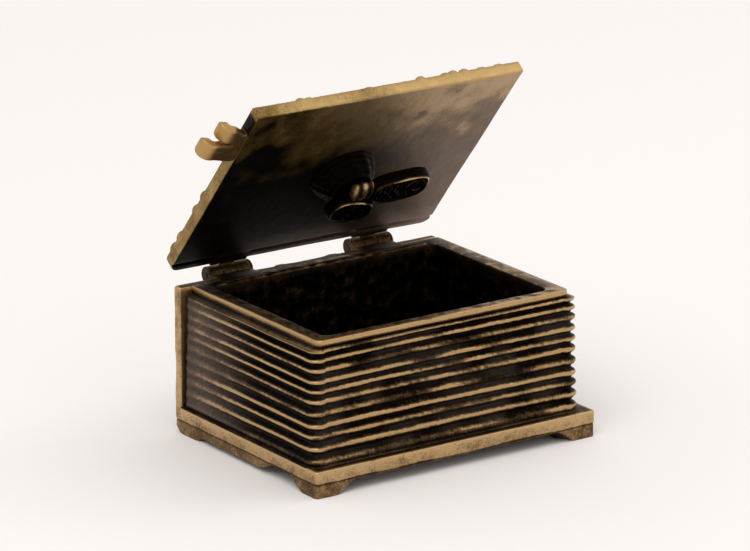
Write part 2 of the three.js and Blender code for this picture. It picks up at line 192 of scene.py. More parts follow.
def ring(x0, x1, y0, y1, radius, per_x=120, per_y=90, per_corner=10, back_radius=None):
    """A rounded rectangle as points and outward normals: four straight runs joined by quarter circles."""
    back_radius = back_radius or radius
    turns = np.linspace(0, np.pi / 2, per_corner)
    corners = ((x1 - radius, y0 + radius, -np.pi / 2, radius),
               (x1 - back_radius, y1 - back_radius, 0, back_radius),
               (x0 + back_radius, y1 - back_radius, np.pi / 2, back_radius),
               (x0 + radius, y0 + radius, np.pi, radius))
    normals = [np.stack([np.cos(start + turns), np.sin(start + turns)], 1) for _, _, start, _ in corners]
    arcs = [np.array([x, y]) + r * n for (x, y, _, r), n in zip(corners, normals)]
    points, outward = [], []
    for k, count in enumerate((per_y, per_x, per_y, per_x)):
        share = np.linspace(0, 1, count + 2)[1:-1, None]
        points += [arcs[k], arcs[k][-1] + (arcs[(k + 1) % 4][0] - arcs[k][-1]) * share]
        outward += [normals[k], np.repeat(normals[k][-1:], count, axis=0)]
    return np.concatenate(points), np.concatenate(outward)


PATCH_SIZE, CLOUD_SIZE, PIT_PITCH = 1.8, 8.0, 1.3      # mm, of the worn film and of the sand's pits
FINE_SHARE = 0.82              # how much the patches and the sand grain add together
NOISE_MEAN = 0.66              # what the three noises add on average, with clouds at 0.5


def cast_brass(name, dark, film, bright, rub_gain, rub_bias, grain=0.35, pits=0.5, gloss=0.36, flatten=1.0,
               patches=0.42, clouds=0.5):
    """Sand-cast brass: dark pickled film, thin brown film or bare metal, chosen by rub plus cloudy noise,
    where the rub value also holds painted light on some pieces.
    The clouds are squeezed in height by flatten, where the rubbing ran along the pages."""
    material = bpy.data.materials.new(name)
    material.use_nodes = True
    tree = material.node_tree
    shader = tree.nodes["Principled BSDF"]
    place = add(tree, "ShaderNodeTexCoord").outputs["Object"]
    rub = add(tree, "ShaderNodeAttribute", {"attribute_name": "rub"}).outputs["Fac"]
    haze = add(tree, "ShaderNodeAttribute", {"attribute_name": "haze"}).outputs["Fac"]
    sand = add(tree, "ShaderNodeTexNoise", {"Scale": 1 / (grain * MM), "Detail": 3.0}, {"Vector": place})
    along = add(tree, "ShaderNodeMapping", {"Scale": (1, 1, flatten)}, {"Vector": place}).outputs[0]
    patch = add(tree, "ShaderNodeTexNoise", {"Scale": 1 / (PATCH_SIZE * MM), "Detail": 4.0},
                {"Vector": along})
    cloud = add(tree, "ShaderNodeTexNoise", {"Scale": 1 / (CLOUD_SIZE * MM), "Detail": 4.0},
                {"Vector": along})
    hole = add(tree, "ShaderNodeTexVoronoi", {"Scale": 1 / (PIT_PITCH * MM), "Randomness": 1.0},
               {"Vector": place})
    level = add(tree, "ShaderNodeMath", {"operation": "MULTIPLY_ADD", 1: rub_gain, 2: rub_bias - NOISE_MEAN},
                {0: rub})
    for noise, amount in ((cloud, clouds), (patch, patches), (sand, FINE_SHARE - patches)):
        level = add(tree, "ShaderNodeMath", {"operation": "MULTIPLY_ADD", 1: amount},
                    {0: noise.outputs["Fac"], 2: level.outputs[0]})
    thin = add(tree, "ShaderNodeMapRange", {"interpolation_type": "SMOOTHSTEP", "From Min": 0.1,
                                            "From Max": 0.5}, {"Value": level.outputs[0]})
    bare = add(tree, "ShaderNodeMapRange", {"interpolation_type": "SMOOTHSTEP", "From Min": 0.42,
                                            "From Max": 0.85}, {"Value": level.outputs[0]})
    filmed = add(tree, "ShaderNodeMix", {"data_type": "RGBA", 6: linear(dark), 7: linear(film)},
                 {0: thin.outputs[0]})
    rubbed = add(tree, "ShaderNodeMix", {"data_type": "RGBA", 7: linear(bright)},
                 {0: bare.outputs[0], 6: filmed.outputs[2]})
    # A grey mixed in by the grey film value: dry grey film on the page block, and a painted grey sheen on the
    # lid's inner face and the right hinge strap.
    dusty = add(tree, "ShaderNodeMix", {"data_type": "RGBA", 7: linear("#857468")},
                {0: haze, 6: rubbed.outputs[2]})
    pitted = add(tree, "ShaderNodeMapRange",
                 {"From Min": 0.1, "From Max": 0.2, "To Min": pits, "To Max": 0.0},
                 {"Value": hole.outputs["Distance"]})
    colour = add(tree, "ShaderNodeMix", {"data_type": "RGBA", 7: linear("#0e0804")},
                 {0: pitted.outputs[0], 6: dusty.outputs[2]})
    rough = add(tree, "ShaderNodeMapRange", {"To Min": 0.52, "To Max": gloss}, {"Value": bare.outputs[0]})
    height = add(tree, "ShaderNodeMath", {"operation": "MULTIPLY_ADD", 1: 0.6},
                 {0: patch.outputs["Fac"], 2: sand.outputs["Fac"]})
    bump = add(tree, "ShaderNodeBump", {"Strength": 0.5, "Distance": 0.12 * MM},
               {"Height": height.outputs[0]})
    shader.inputs["Metallic"].default_value = 1.0
    tree.links.new(colour.outputs[2], shader.inputs["Base Color"])
    tree.links.new(rough.outputs[0], shader.inputs["Roughness"])
    tree.links.new(bump.outputs[0], shader.inputs["Normal"])
    return material


# Yellow brass, sand cast, its flats rubbed: a warm tan with brown clouds and small black pits.
cover_brass = cast_brass("sand_cast_brass_rubbed_flats", "#1a120a", "#614a30", "#c0a073", 0.95, -0.06,
                         grain=0.5, pits=0.6)

COVER_CORNER, BACK_CORNER = 1.1, 0.5
COVER_ARRIS = 0.45             # rounding of the board's edges
BOARD_LEFT = 0.3               # a strip this deep is left under the board where the feet arch
FOOT_FLAT, FOOT_END = 6.2, 13.2      # a foot is level to here, then sweeps up in an ogee
FOOT_DEPTH = 4.4
HEEL_ROUND = 3.4               # the rear feet's outer corners are worn round
APRON_START, APRON_CLEAR = 27.0, 1.2  # the left side hangs lower behind here, this far off the table
APRON_SLOPE = 7.0              # and comes down over this length
x0, y0, under = cover_low
x1, y1, top = cover_high
outer, _ = ring(x0, x1, y0, y1, COVER_CORNER, back_radius=BACK_CORNER)
from_corner = (np.minimum(outer[:, 0] - x0, x1 - outer[:, 0])
               + np.minimum(outer[:, 1] - y0, y1 - outer[:, 1]))
foot_line = (under - BOARD_LEFT) * smooth(from_corner, FOOT_FLAT, FOOT_END)
on_left = (outer[:, 0] - x0 < COVER_CORNER) & (outer[:, 1] - y0 > FOOT_END)
apron_share = smooth(y0 + APRON_START - outer[:, 1], 0, APRON_SLOPE)
apron = APRON_CLEAR + (under - BOARD_LEFT - APRON_CLEAR) * apron_share
apron = apron * smooth(from_corner, HEEL_ROUND + 6, HEEL_ROUND + 10)
foot_line = np.where(on_left, np.minimum(foot_line, apron), foot_line)
heel = np.clip(1 - from_corner / HEEL_ROUND, 0, 1) * (outer[:, 1] > (y0 + y1) / 2)
foot_line = foot_line + HEEL_ROUND * 0.6 * heel ** 2
cover_rows, cover_rub = [], []
# inset from the edge, height above the board's underside (or None for the foot line), rub
for inset, above, worn in ((26, top - under, 0.2), (9, top - under, 0.2), (1.5, top - under, 0.3),
                           (COVER_ARRIS, top - under, 0.85), (0.13, top - under - 0.13, 1.1),
                           (0, top - under - COVER_ARRIS, 0.98), (0, 2.5, 0.88), (0, 1.8, 0.84),
                           (0, 1.1, 0.8), (0, 0.45, 0.84), (0.1, 0.12, 0.6), (0.22, -0.08, 0.3),
                           (0.12, -0.3, 0.6), (0.1, None, 0.62), (0.5, None, 0.35), (FOOT_DEPTH, None, 0.1)):
    flat, out = ring(x0 + inset, x1 - inset, y0 + inset, y1 - inset, max(COVER_CORNER - inset, 0.25),
                     back_radius=BACK_CORNER)
    z = np.minimum(foot_line, under - BOARD_LEFT) if above is None else np.full(len(flat), under + above)
    at = np.column_stack([flat, z])
    at[:, :2] += out * (0.05 * wavy(at, 12, 3) + 0.025 * wavy(at, 2, 4))[:, None]
    if above is not None and -0.2 < above < 0.6:
        at[:, 2] += 0.09 * wavy(at, 16, 5)
    if above is None and inset < FOOT_DEPTH:
        at[:, 2] = np.maximum(at[:, 2] + 0.35 * (0.5 - inset) * smooth(foot_line, 0, 0.6), 0)
    cover_rows.append(at)
    cover_rub.append(np.full(len(at), worn))
inset = FOOT_DEPTH + 0.5
flat, _ = ring(x0 + inset, x1 - inset, y0 + inset, y1 - inset, 0.25, back_radius=BACK_CORNER)
cover_rows.append(np.column_stack([flat, np.full(len(flat), under - BOARD_LEFT + 0.05)]))
cover_rub.append(np.full(len(flat), 0.1))
cover_points, cover_faces = capped(np.array(cover_rows))
piece("bottom_cover_and_feet", cover_points, cover_faces, "base", cover_brass,
      np.append(np.array(cover_rub).ravel(), [0.1, 0.1]), 0.0,
      ("bottom_cover", "foot_front_left", "foot_front_right", "foot_rear_left", "foot_rear_right"), 50)


# ---- Spine -----------------------------------------------------------------------------------
# The book's back: a cast brass plate with four raised bands, brazed upright on the bottom
# cover. Its left end is flush with the cover's, and both are rubbed to one bright L.

BAND_COUNT, BAND_HALF, BAND_PROUD = 4, 2.0, 0.9
spine_low, spine_high = (np.array(corner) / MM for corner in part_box("spine"))
block_low, block_high = (np.array(corner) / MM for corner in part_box("page_block"))
spine_back = spine_high[1] - BAND_PROUD
band_middles = np.linspace(spine_low[0], spine_high[0], BAND_COUNT + 2)[1:-1]
spine_rows, spine_rub = [], []
# inset of the section, height, rub
for inset, z, worn in ((0.1, cover_low[2] + 0.5, 0.5), (-0.05, cover_low[2] + 0.9, 0.66),
                       (-0.05, cover_high[2] - 0.6, 0.74), (0, cover_high[2] + 0.6, 0.82),
                       *((0, h, 0.85) for h in np.linspace(cover_high[2] + 3, spine_high[2] - 1.6, 12)),
                       (0, spine_high[2] - 0.5, 1.0), (0.15, spine_high[2] - 0.2, 1.1),
                       (0.5, spine_high[2] - 0.08, 0.7), (0.8, spine_high[2] - 0.08, 0.5)):
    flat, out = ring(cover_low[0] + inset, spine_high[0] - inset, spine_low[1] - 0.3 + inset,
                     spine_back - inset, 0.6 if inset < 0.5 else 0.2, 230, 6, 6)
    bands = sum(np.sqrt(np.clip(1 - ((flat[:, 0] - middle) / BAND_HALF) ** 2, 0, 1))
                for middle in band_middles)
    behind = out[:, 1] > 0.9
    at = np.column_stack([flat, np.full(len(flat), z)])
    at[:, 1] += BAND_PROUD * bands * behind * smooth(z, cover_high[2] + 0.3, cover_high[2] + 1.5)
    at[:, :2] += out * (0.06 * wavy(at, 8, 8) + 0.03 * wavy(at, 2, 9))[:, None]
    spine_rows.append(at)
    spine_rub.append(worn - 0.5 * behind * (1 - bands) * (z < spine_high[2] - 0.3) * (z > cover_high[2]))
spine_points, spine_faces = capped(np.array(spine_rows))
piece("spine_with_bands", spine_points, spine_faces, "base", cover_brass,
      np.append(np.array(spine_rub).ravel(), [0.5, 0.6]), 0.0, ("spine",), 50)


# ---- Page block ------------------------------------------------------------------------------
# The box itself: one casting whose outside is a stack of wavy page edges, with a hollow cove
# under the last page and a hammered inside. Crests are rubbed bright, grooves stay black.

def cells(u, v, pitch, seed):
    """Distance, in pitches, to the nearest centre of a jittered square net, and that centre's own number."""
    draw = np.random.default_rng(seed)
    net = draw.uniform(0.15, 0.85, (64, 64, 3))
    column, row = np.floor(u / pitch).astype(int), np.floor(v / pitch).astype(int)
    near, own = np.full(np.shape(u), 9.0), np.zeros(np.shape(u))
    for i in (-1, 0, 1):
        for j in (-1, 0, 1):
            centre = net[(column + i) % 64, (row + j) % 64]
            away = np.hypot(column + i + centre[..., 0] - u / pitch, row + j + centre[..., 1] - v / pitch)
            own = np.where(away < near, centre[..., 2], own)
            near = np.minimum(near, away)
    return near, own


# Yellow brass, sand cast and pickled almost black, with only the page crests rubbed through.
page_brass = cast_brass("sand_cast_brass_page_edges", "#0f0a06", "#54402a", "#b9986a", 1.0, 0.02, grain=0.4,
                        pits=0.4, flatten=2.6, patches=0.24)

PAGES = 11
CREST_TOP, CREST_FIRST = 2.7, 1.55   # top crest below the rim, last crest above the bottom cover
PROUD_ENDS, PROUD_FRONT = 2.2, 0.4   # crests beyond the rim
FLARE = 0.8                          # the lowest page reaches this much past the top one
GROOVE = 1.55
PER_PAGE = 12                        # rows of points from crest to crest
RECESS = 0.7                         # a dark channel this wide parts the pages from the spine
SPINE_SHADE = 38.0                   # the ends are duller for this length from the spine
RIM_CORNER, RIM_BACK_CORNER, HOLLOW_CORNER = 2.2, 0.4, 2.6
PER_LONG, PER_SHORT, PER_CORNER = 128, 92, 9         # points on the rim's sides and round its corners
DENT_PITCH, DENT_DEEP = 3.1, 0.5     # hammer marks inside the hollow
hollow_box = frame["record"]["physics"]["openings"][0]["box_m"]
hollow_low, hollow_high = (np.array(corner) / MM for corner in hollow_box)
rim = block_high[2]
rim_left, rim_right = block_low[0] + PROUD_ENDS + FLARE, block_high[0] - PROUD_ENDS - FLARE
rim_front, block_back = block_low[1] + PROUD_FRONT + FLARE, block_high[1]
cover_top = cover_high[2]
flat, out = ring(rim_left, rim_right, rim_front, block_back, RIM_CORNER, PER_LONG, PER_SHORT, PER_CORNER,
                 RIM_BACK_CORNER)
side = np.clip(-out[:, 1], 0, 1)                      # 1 on the fore edge
end = np.abs(out[:, 0])                               # 1 on the two ends
back = smooth(out[:, 1], 0.2, 0.8)                    # 1 against the spine
proud = (PROUD_ENDS * end + PROUD_FRONT * side) * (1 - back)
from_spine = smooth((block_back - flat[:, 1]) / SPINE_SHADE, 0.05, 1)
round_ring = np.column_stack([flat, np.zeros(len(flat))])
pages_draw = np.random.default_rng(21)
page_share = np.linspace(0, 1, PAGES) ** 1.08
crest_base = rim - CREST_TOP - (rim - CREST_TOP - cover_top - CREST_FIRST) * page_share
crest_z = np.stack([z + 0.16 * wavy(round_ring + [0, 0, 9 * k], 90, 22)
                    + 0.035 * wavy(round_ring + [0, 0, 9 * k], 16, 23) for k, z in enumerate(crest_base)])
crest_z = crest_z + 0.25 * pages_draw.uniform(-1, 1, (PAGES, 1))
crest_bright = pages_draw.uniform(0.42, 1.0, PAGES)
crest_bright[-4:-1] += 0.2
crest_bright[-1] = 0.3             # the last page sits in the dark cove
block_rows, block_rub, block_haze = [], [], []


def block_row(inset, z, rub, haze=0.0):
    """One ring of the block: the rim's outline moved inwards by inset, at height z."""
    at = np.column_stack([flat - out * np.reshape(inset, (-1, 1)), np.zeros(len(flat)) + z])
    block_rows.append(at)
    block_rub.append(np.zeros(len(flat)) + rub)
    block_haze.append(np.zeros(len(flat)) + haze)


block_row(1.5, cover_top - 0.1, 0.0)
block_row(-(proud + (FLARE + 0.9) * (1 - back)), cover_top + 0.05, 0.35)
block_row(-(proud * 0.75 + (FLARE + 0.35) * (1 - back)), cover_top + 0.5, 0.05)
near_spine = (1 - from_spine) * (out[:, 0] < 0)
recess = end * smooth(flat[:, 1], block_back - RECESS - 0.5, block_back - RECESS)
by_recess = end * smooth(flat[:, 1], block_back - 7, block_back - 1.5)
proud = proud * (1 - recess)
for step in range((PAGES - 1) * PER_PAGE, -1, -1):
    page, part = min(step // PER_PAGE, PAGES - 2), step / PER_PAGE
    part -= page
    upper, lower = crest_z[page], crest_z[page + 1]
    z = upper + (lower - upper) * part
    near_crest = min(part, 1 - part)
    hollow = float(smooth(near_crest, 0.04, 0.47))
    depth = GROOVE * (1 - 0.72 * near_spine) * (1 - 0.36 * side) * (1 - back) * (1 - 0.8 * by_recess)
    depth = depth * (1 - recess)
    at = np.column_stack([flat, z])
    spread = FLARE * (page + part) / (PAGES - 1) * (1 - back)
    sandy = 0.035 * wavy(at, 2.4, 31) + 0.03 * wavy(at, 0.9, 32)
    rough = sandy * (1 - back) * (0.4 + side + 1.2 * near_spine)
    bright = crest_bright[page] * (1 - part) + crest_bright[page + 1] * part
    crest = 1 - smooth(near_crest, 0.04, 0.22 + 0.1 * side + 0.16 * near_spine)
    patchy = 0.22 * wavy(at * [1, 1, 2.5], 16, 33) * (0.4 + 0.6 * side)
    end_gain = 1.22 - 0.4 * side - 0.95 * near_spine
    rub = (crest * (bright * end_gain + patchy) + 0.06 * wavy(at, 1.4, 34)
           + 0.3 * near_spine * (1 - 0.4 * hollow))
    rub = rub + 0.16 * side * (1 - hollow) - 0.6 * recess - 0.35 * by_recess
    dry = 0.1 * side * (1 - 0.6 * crest) * np.clip(0.4 + 0.6 * wavy(at, 18, 35), 0, 1)
    haze = (0.5 * near_spine * (1 - 0.35 * hollow) + dry) * (1 - recess)
    block_row(-(proud + spread - depth * hollow + rough), z, rub, np.clip(haze, 0, 0.75))
block_row(-(proud * 0.3) + 0.5 * (1 - back), rim - 2.0, 0.0)
block_row(0.15, rim - 1.35, 0.45)
block_row(0.0, rim - 0.9, 0.95)
block_row(0.0, rim - 0.45, 0.95)
block_row(0.12, rim - 0.12, 1.05)
inner, inward = ring(hollow_low[0], hollow_high[0], hollow_low[1], hollow_high[1], HOLLOW_CORNER,
                     PER_LONG, PER_SHORT, PER_CORNER)
rim_out = flat - out * 0.45
at_corner = smooth(np.abs(out[:, 0] * out[:, 1]), 0.05, 0.4) * (1 - back)
under_leaf = np.zeros(len(flat))
for hand in ("left", "right"):
    leaf_low, leaf_high = (np.array(corner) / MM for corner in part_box(f"hinge_{hand}_box_leaf"))
    under_leaf += (flat[:, 0] > leaf_low[0] - 0.3) * (flat[:, 0] < leaf_high[0] + 0.3) * (out[:, 1] > 0.5)
# share of the way from the outer to the inner edge, rub
for share, worn in ((0.0, 0.9), (0.18, 0.62), (0.5, 0.52), (0.8, 0.5), (1.0, 0.62)):
    at = rim_out + (inner - rim_out) * share
    level = np.column_stack([at, np.full(len(at), rim)])
    level[:, 2] += 0.03 * wavy(level, 9, 36) - 0.12 * under_leaf - (0.25 if share == 1.0 else 0)
    block_rows.append(level)
    rub = worn + 0.14 * wavy(level, 3.5, 37) + 0.3 * at_corner - 0.3 * back
    block_rub.append(rub - 0.22 * (1 - from_spine) * end)
    block_haze.append(0.3 * smooth(out[:, 0], 0.2, 0.8) + 0.02)
run = np.concatenate([[0], np.cumsum(np.linalg.norm(np.diff(inner, axis=0), axis=1))])
FLOOR_Z = hollow_low[2]
for z in np.linspace(rim - 0.8, FLOOR_Z + 0.4, 34):
    near, own = cells(run, np.full(len(run), z), DENT_PITCH, 41)
    dent = DENT_DEEP * np.clip(1 - (near / 0.62) ** 2, 0, 1) * (0.5 + own) * smooth(rim - z, 1.5, 4)
    at = np.column_stack([inner + inward * (dent - 0.1)[:, None], np.full(len(inner), z)])
    block_rows.append(at)
    block_rub.append(0.26 - 0.7 * dent)
    block_haze.append(np.zeros(len(inner)))
for share in (0.04, 0.3, 0.65):
    at = inner + (inner.mean(0) - inner) * share
    block_rows.append(np.column_stack([at, np.full(len(at), FLOOR_Z)]))
    block_rub.append(np.full(len(at), 0.1))
    block_haze.append(np.zeros(len(at)))
block_points, block_faces = capped(np.array(block_rows))
piece("page_block_casting", block_points, block_faces, "base", page_brass,
      np.append(np.array(block_rub).ravel(), [0.1, 0.1]), np.append(np.array(block_haze).ravel(), [0, 0]),
      ("page_block",), 60)


# ---- Lid -------------------------------------------------------------------------------------
# The front board, cast with its outer relief: an owl on a branch in a border of leaves. The
# inner face is plain and dark, with a painted golden reflection along the front, a painted grey
# sheen to the right, and a joint groove by the hinges.

lid_low, lid_high = (np.array(corner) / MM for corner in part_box("lid_cover"))
opening = math.radians(-frame["joints"][0]["range_deg"][0])
cos_o, sin_o = math.cos(opening), math.sin(opening)
lid_y, lid_z = lid_high[1] - lid_low[1], lid_high[2] - lid_low[2]
LID_LENGTH = (lid_y * cos_o - lid_z * sin_o) / (cos_o ** 2 - sin_o ** 2)
LID_THICK = (lid_z * cos_o - lid_y * sin_o) / (cos_o ** 2 - sin_o ** 2)
lid_origin = np.array([0, lid_high[1] - LID_THICK * sin_o, lid_low[2]])


def on_lid(x, s, h):
    """A place on the open lid: along the book, up from the hinge edge, and out from the inner face."""
    x, s, h = np.broadcast_arrays(np.asarray(x, float), s, h)
    return np.stack([x, lid_origin[1] - s * cos_o + h * sin_o,
                     lid_origin[2] + s * sin_o + h * cos_o], axis=-1)


def lid_place(node):
    """The middle of a CAD node in the lid's own x, s and h, which turns on_lid round."""
    low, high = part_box(node)
    x, y, z = (np.array(low) + np.array(high)) / 2 / MM - lid_origin
    return x, -y * cos_o + z * sin_o, y * sin_o + z * cos_o


def egg(x, y, long, wide, high):
    """Height of half an egg: high times the root of 1 - (x/half length)^2 - (y/half width)^2."""
    return high * np.sqrt(np.clip(1 - (2 * x / long) ** 2 - (2 * y / wide) ** 2, 0, 1))


def feathers(x, y, pitch):
    """Overlapping scallops in rows along x, each row half a feather off the last, tips towards -x."""
    row = np.floor(x / pitch)
    across = (y / pitch + 0.5 * (row % 2)) % 1 - 0.5
    along = x / pitch - row
    return np.where(along > 2.2 * across ** 2, 1 - 0.8 * along, 0.1)


# The same brass, pickled dark and little rubbed. The golden brown along the front is a painted golden
# reflection and the grey to the right a painted sheen; the black middle is dark film that also stands for a
# painted reflection of the box's dark inside.
lid_brass = cast_brass("sand_cast_brass_dark_lid", "#0c0805", "#6b5429", "#bd9d68", 1.0, 0.06, pits=0.12,
                       gloss=0.34, patches=0.3, clouds=0.36)

LID_ARRIS = 0.4
CORNER_BACK = 2.8              # the lid's corner radius at the hinge edge
LID_COLUMNS, LID_ROWS = 216, 176
column = np.linspace(-1, 1, LID_COLUMNS)
row = np.linspace(0, 1, LID_ROWS)
mid_x = (lid_low[0] + lid_high[0]) / 2


def lid_grid(inset):
    """The face's grid, x from the lid's middle and s. The two hinge corners are bent to quarter discs."""
    half = (lid_high[0] - lid_low[0]) / 2 - inset
    x, s = np.meshgrid(column * half, inset + row * (LID_LENGTH - 2 * inset))
    radius = CORNER_BACK - inset
    a = np.clip((np.abs(x) - (half - radius)) / radius, 0, 1)
    b = np.clip((inset + radius - s) / radius, 0, 1)
    bent_x = half - radius + radius * a * np.sqrt(1 - b * b / 2)
    bent_s = inset + radius - radius * b * np.sqrt(1 - a * a / 2)
    corner = (a > 0) & (b > 0)
    return np.where(corner, np.sign(x) * bent_x, x), np.where(corner, bent_s, s)


WING_SIDE = 9.2                # the owl's wings, off its middle line
EYE_AT, EYE_SIDE, EYE_RADIUS = 17.0, 4.6, 4.9        # its eyes, along from the lid's middle and off the line
xs, ss = lid_grid(LID_ARRIS)
owl_x, owl_y = xs, ss - LID_LENGTH / 2
body_part = egg(owl_x + 1, owl_y, 30, 22, 4.4)
breast = np.where(np.abs(owl_y) < 6.6, feathers(owl_x, owl_y, 2.6), 0)
relief = body_part + 0.45 * breast * (body_part > 0.6)
for hand in (-1, 1):
    wing = egg(owl_x + 3, owl_y - hand * WING_SIDE, 28.5, 8.8, 4.6)
    lines = np.abs(np.sin(np.pi * (owl_y - hand * WING_SIDE + 0.12 * hand * owl_x) / 1.7))
    plumes = np.where(owl_x > 1, feathers(owl_x, owl_y, 2.1), lines)
    relief = np.maximum(relief, wing + 0.5 * plumes * (wing > 0.7) - 0.3 * (wing > 0.7))
    relief = np.maximum(relief, egg(owl_x - 23, owl_y - hand * 7.5, 8.5, 4.6, 3.6))
    toes = [egg(owl_x + 18.6, owl_y - hand * 4.6 - 1.7 * toe, 6.2, 1.5, 3.7) for toe in (-1, 0, 1)]
    relief = np.maximum(relief, np.max(toes, axis=0))
head = egg(owl_x - 16, owl_y, 17, 21, 5.0)
relief = np.maximum(relief, head + 0.3 * feathers(owl_x, owl_y, 1.8) * (head > 0.8) - 0.15)
for hand in (-1, 1):
    radius = np.hypot(owl_x - EYE_AT, owl_y - hand * EYE_SIDE)
    turn = np.arctan2(owl_x - EYE_AT, owl_y - hand * EYE_SIDE)
    disc = (5.0 + 0.3 * np.cos(22 * turn) * smooth(radius, 2.4, 3.4)
            + 0.8 * np.exp(-((radius - 4.4) / 0.45) ** 2) - 0.7 * np.exp(-((radius - 2.7) / 0.4) ** 2)
            + 0.9 * np.sqrt(np.clip(1 - (radius / 2.3) ** 2, 0, 1)) - 0.7 * np.exp(-(radius / 0.7) ** 2))
    relief = np.where(radius < EYE_RADIUS, np.maximum(disc - 0.2, 0), relief)
relief = np.maximum(relief, egg(owl_x - 13.4, owl_y, 6.2, 3.2, 6.3))
for feather in (-1, 0, 1):
    relief = np.maximum(relief, egg(owl_x + 24.5, owl_y - 3 * feather, 12, 3.6, 1.7))
bark = 0.16 * wavy(np.stack([owl_x * 4, owl_y, 0 * owl_x], -1), 5, 51)
branch_line = owl_x + 19.85 + 0.8 * np.sin(owl_y / 7)
relief = np.maximum(relief, (2.3 + bark) * np.sqrt(np.clip(1 - (branch_line / 2.3) ** 2, 0, 1))
                    * (np.abs(owl_y) < 19 + 0.4 * np.sin(3 * owl_x)))
VINE_INSET, LEAF_STEP, LEAF_ASIDE = 3.4, 3.3, 1.2
LEAF_LONG, LEAF_WIDE, LEAF_HIGH = 4.4, 2.3, 1.25
leaf_draw = np.random.default_rng(52)
half_x, half_y = (lid_high[0] - lid_low[0]) / 2, LID_LENGTH / 2
vine = np.minimum(half_x - np.abs(owl_x), half_y - np.abs(owl_y))
from_stem = vine - VINE_INSET - 0.5 * np.sin((owl_x + owl_y) / 2.1)
relief = np.maximum(relief, 0.75 * np.exp(-(from_stem / 0.5) ** 2))
walks = [(t, side_y * (half_y - VINE_INSET), 0) for side_y in (-1, 1)
         for t in np.arange(-half_x + 3, half_x - 2, LEAF_STEP)]
walks += [(side_x * (half_x - VINE_INSET), t, 90) for side_x in (-1, 1)
          for t in np.arange(-half_y + 6, half_y - 5, LEAF_STEP)]
for number, (leaf_x, leaf_y, heading) in enumerate(walks):
    lean = math.radians(heading + (40 if number % 2 else -40) + leaf_draw.uniform(-12, 12))
    size = leaf_draw.uniform(0.85, 1.15)
    aside = LEAF_ASIDE if number % 2 else -LEAF_ASIDE
    dx = owl_x - leaf_x - (aside if heading else 0)
    dy = owl_y - leaf_y - (0 if heading else aside)
    along = dx * math.cos(lean) + dy * math.sin(lean)
    across = -dx * math.sin(lean) + dy * math.cos(lean)
    leaf = egg(along, across, LEAF_LONG * size, LEAF_WIDE * size, LEAF_HIGH) * smooth(vine, 0.9, 2.0)
    relief = np.maximum(relief, leaf - 0.35 * np.exp(-(across / 0.22) ** 2) * (leaf > 0))
# Leaf tips that break the board's edges: x along the front from the lid's middle, then s along the left.
for tip_x, high in ((-27.3, 0.7), (-24.8, 0.4), (-6, 0.3), (10.7, 0.9), (18.5, 0.6), (21, 0.9), (24.5, 0.8),
                    (30, 0.4), (35.5, 0.4)):
    relief = np.maximum(relief, egg(xs - tip_x, ss - LID_LENGTH + 0.9, 2.6, 2.4, high))
for tip_s in (7, 12, 24, 30):
    relief = np.maximum(relief, egg(xs + half_x - 0.9, ss - tip_s, 2.4, 3.4, 0.8))
field = 0.12 * wavy(np.stack([xs, ss, 0 * xs], -1), 1.7, 53) * (relief < 0.2) * smooth(vine, 0.6, 1.6)
edge_ease = smooth(vine, 0, 0.4)
outer_h = LID_THICK + (relief + field) * (0.6 + 0.4 * edge_ease)
outer_rub = np.clip(0.18 + 0.2 * relief, 0, 0.7)
smoothed = relief.copy()
for axis in (0, 1):
    for reach in (1, 2, 3):
        smoothed = (smoothed + np.roll(smoothed, reach, axis) + np.roll(smoothed, -reach, axis)) / 3
outer_rub = outer_rub + np.clip((relief - smoothed) * 1.6, -0.5, 0.6)

GROOVE_AT, GROOVE_HALF, GROOVE_DEEP = 2.75, 0.45, 0.6
SKIN = 0.16                    # solder flushed over the hinge straps, which are let into the lid
inner_x, inner_s = lid_grid(LID_ARRIS)
plane = np.stack([inner_x, inner_s, 0 * inner_x], -1)
inner_h = (GROOVE_DEEP * np.exp(-((inner_s - GROOVE_AT - 0.12 * np.sin(inner_x / 7)) / GROOVE_HALF) ** 2)
           + 0.045 * wavy(plane, 34, 61) + 0.008 * wavy(plane, 4, 62) - SKIN)
across_share = (inner_x + half_x) / (2 * half_x)       # 0 at the left end
up_share = inner_s / LID_LENGTH                        # 0 at the hinge edge
# Painted reflections on the inner face: a painted golden reflection over the front and left, with a lighter
# painted band along the front edge, and a painted grey sheen on the right, put into the face's rub and grey film
# values. A grey strip also runs along the hinge edge. The groove stays dark.
golden = smooth(up_share + 0.06 * wavy(plane, 26, 65) - 0.12 * across_share, 0.42, 0.78)
sheen = smooth(across_share + 0.35 * (up_share - 0.5), 0.36, 0.82)
inner_rub = 0.02 + 0.46 * golden * (0.64 + 0.36 * smooth(across_share, 0.04, 0.4)) + 0.26 * sheen
inner_rub = (inner_rub + 0.14 * smooth(up_share, 0.86, 1) * smooth(across_share, 0.1, 0.4)
             + 0.07 * wavy(plane, 7, 63))
inner_rub = inner_rub - 0.3 * smooth(0.9 - np.abs(inner_s - GROOVE_AT), 0, 0.6)
inner_haze = (0.74 * sheen * (1 - 0.4 * golden)
              + 0.3 * smooth(0.16 - up_share, 0, 0.08) * smooth(across_share, 0.2, 0.4))


def border_order(rows, columns):
    """Indices that run once round a grid's edge."""
    grid = np.arange(rows * columns).reshape(rows, columns)
    return np.concatenate([grid[0, :-1], grid[:-1, -1], grid[-1, :0:-1], grid[:0:-1, 0]])


def open_faces(rows, columns, first=0):
    """Quads of a grid that is open on all four sides."""
    i, j = np.meshgrid(np.arange(rows - 1), np.arange(columns - 1), indexing="ij")
    corner = i * columns + j
    quads = (corner, corner + 1, corner + columns + 1, corner + columns)
    return (first + np.stack(quads, axis=-1).reshape(-1, 4)).tolist()


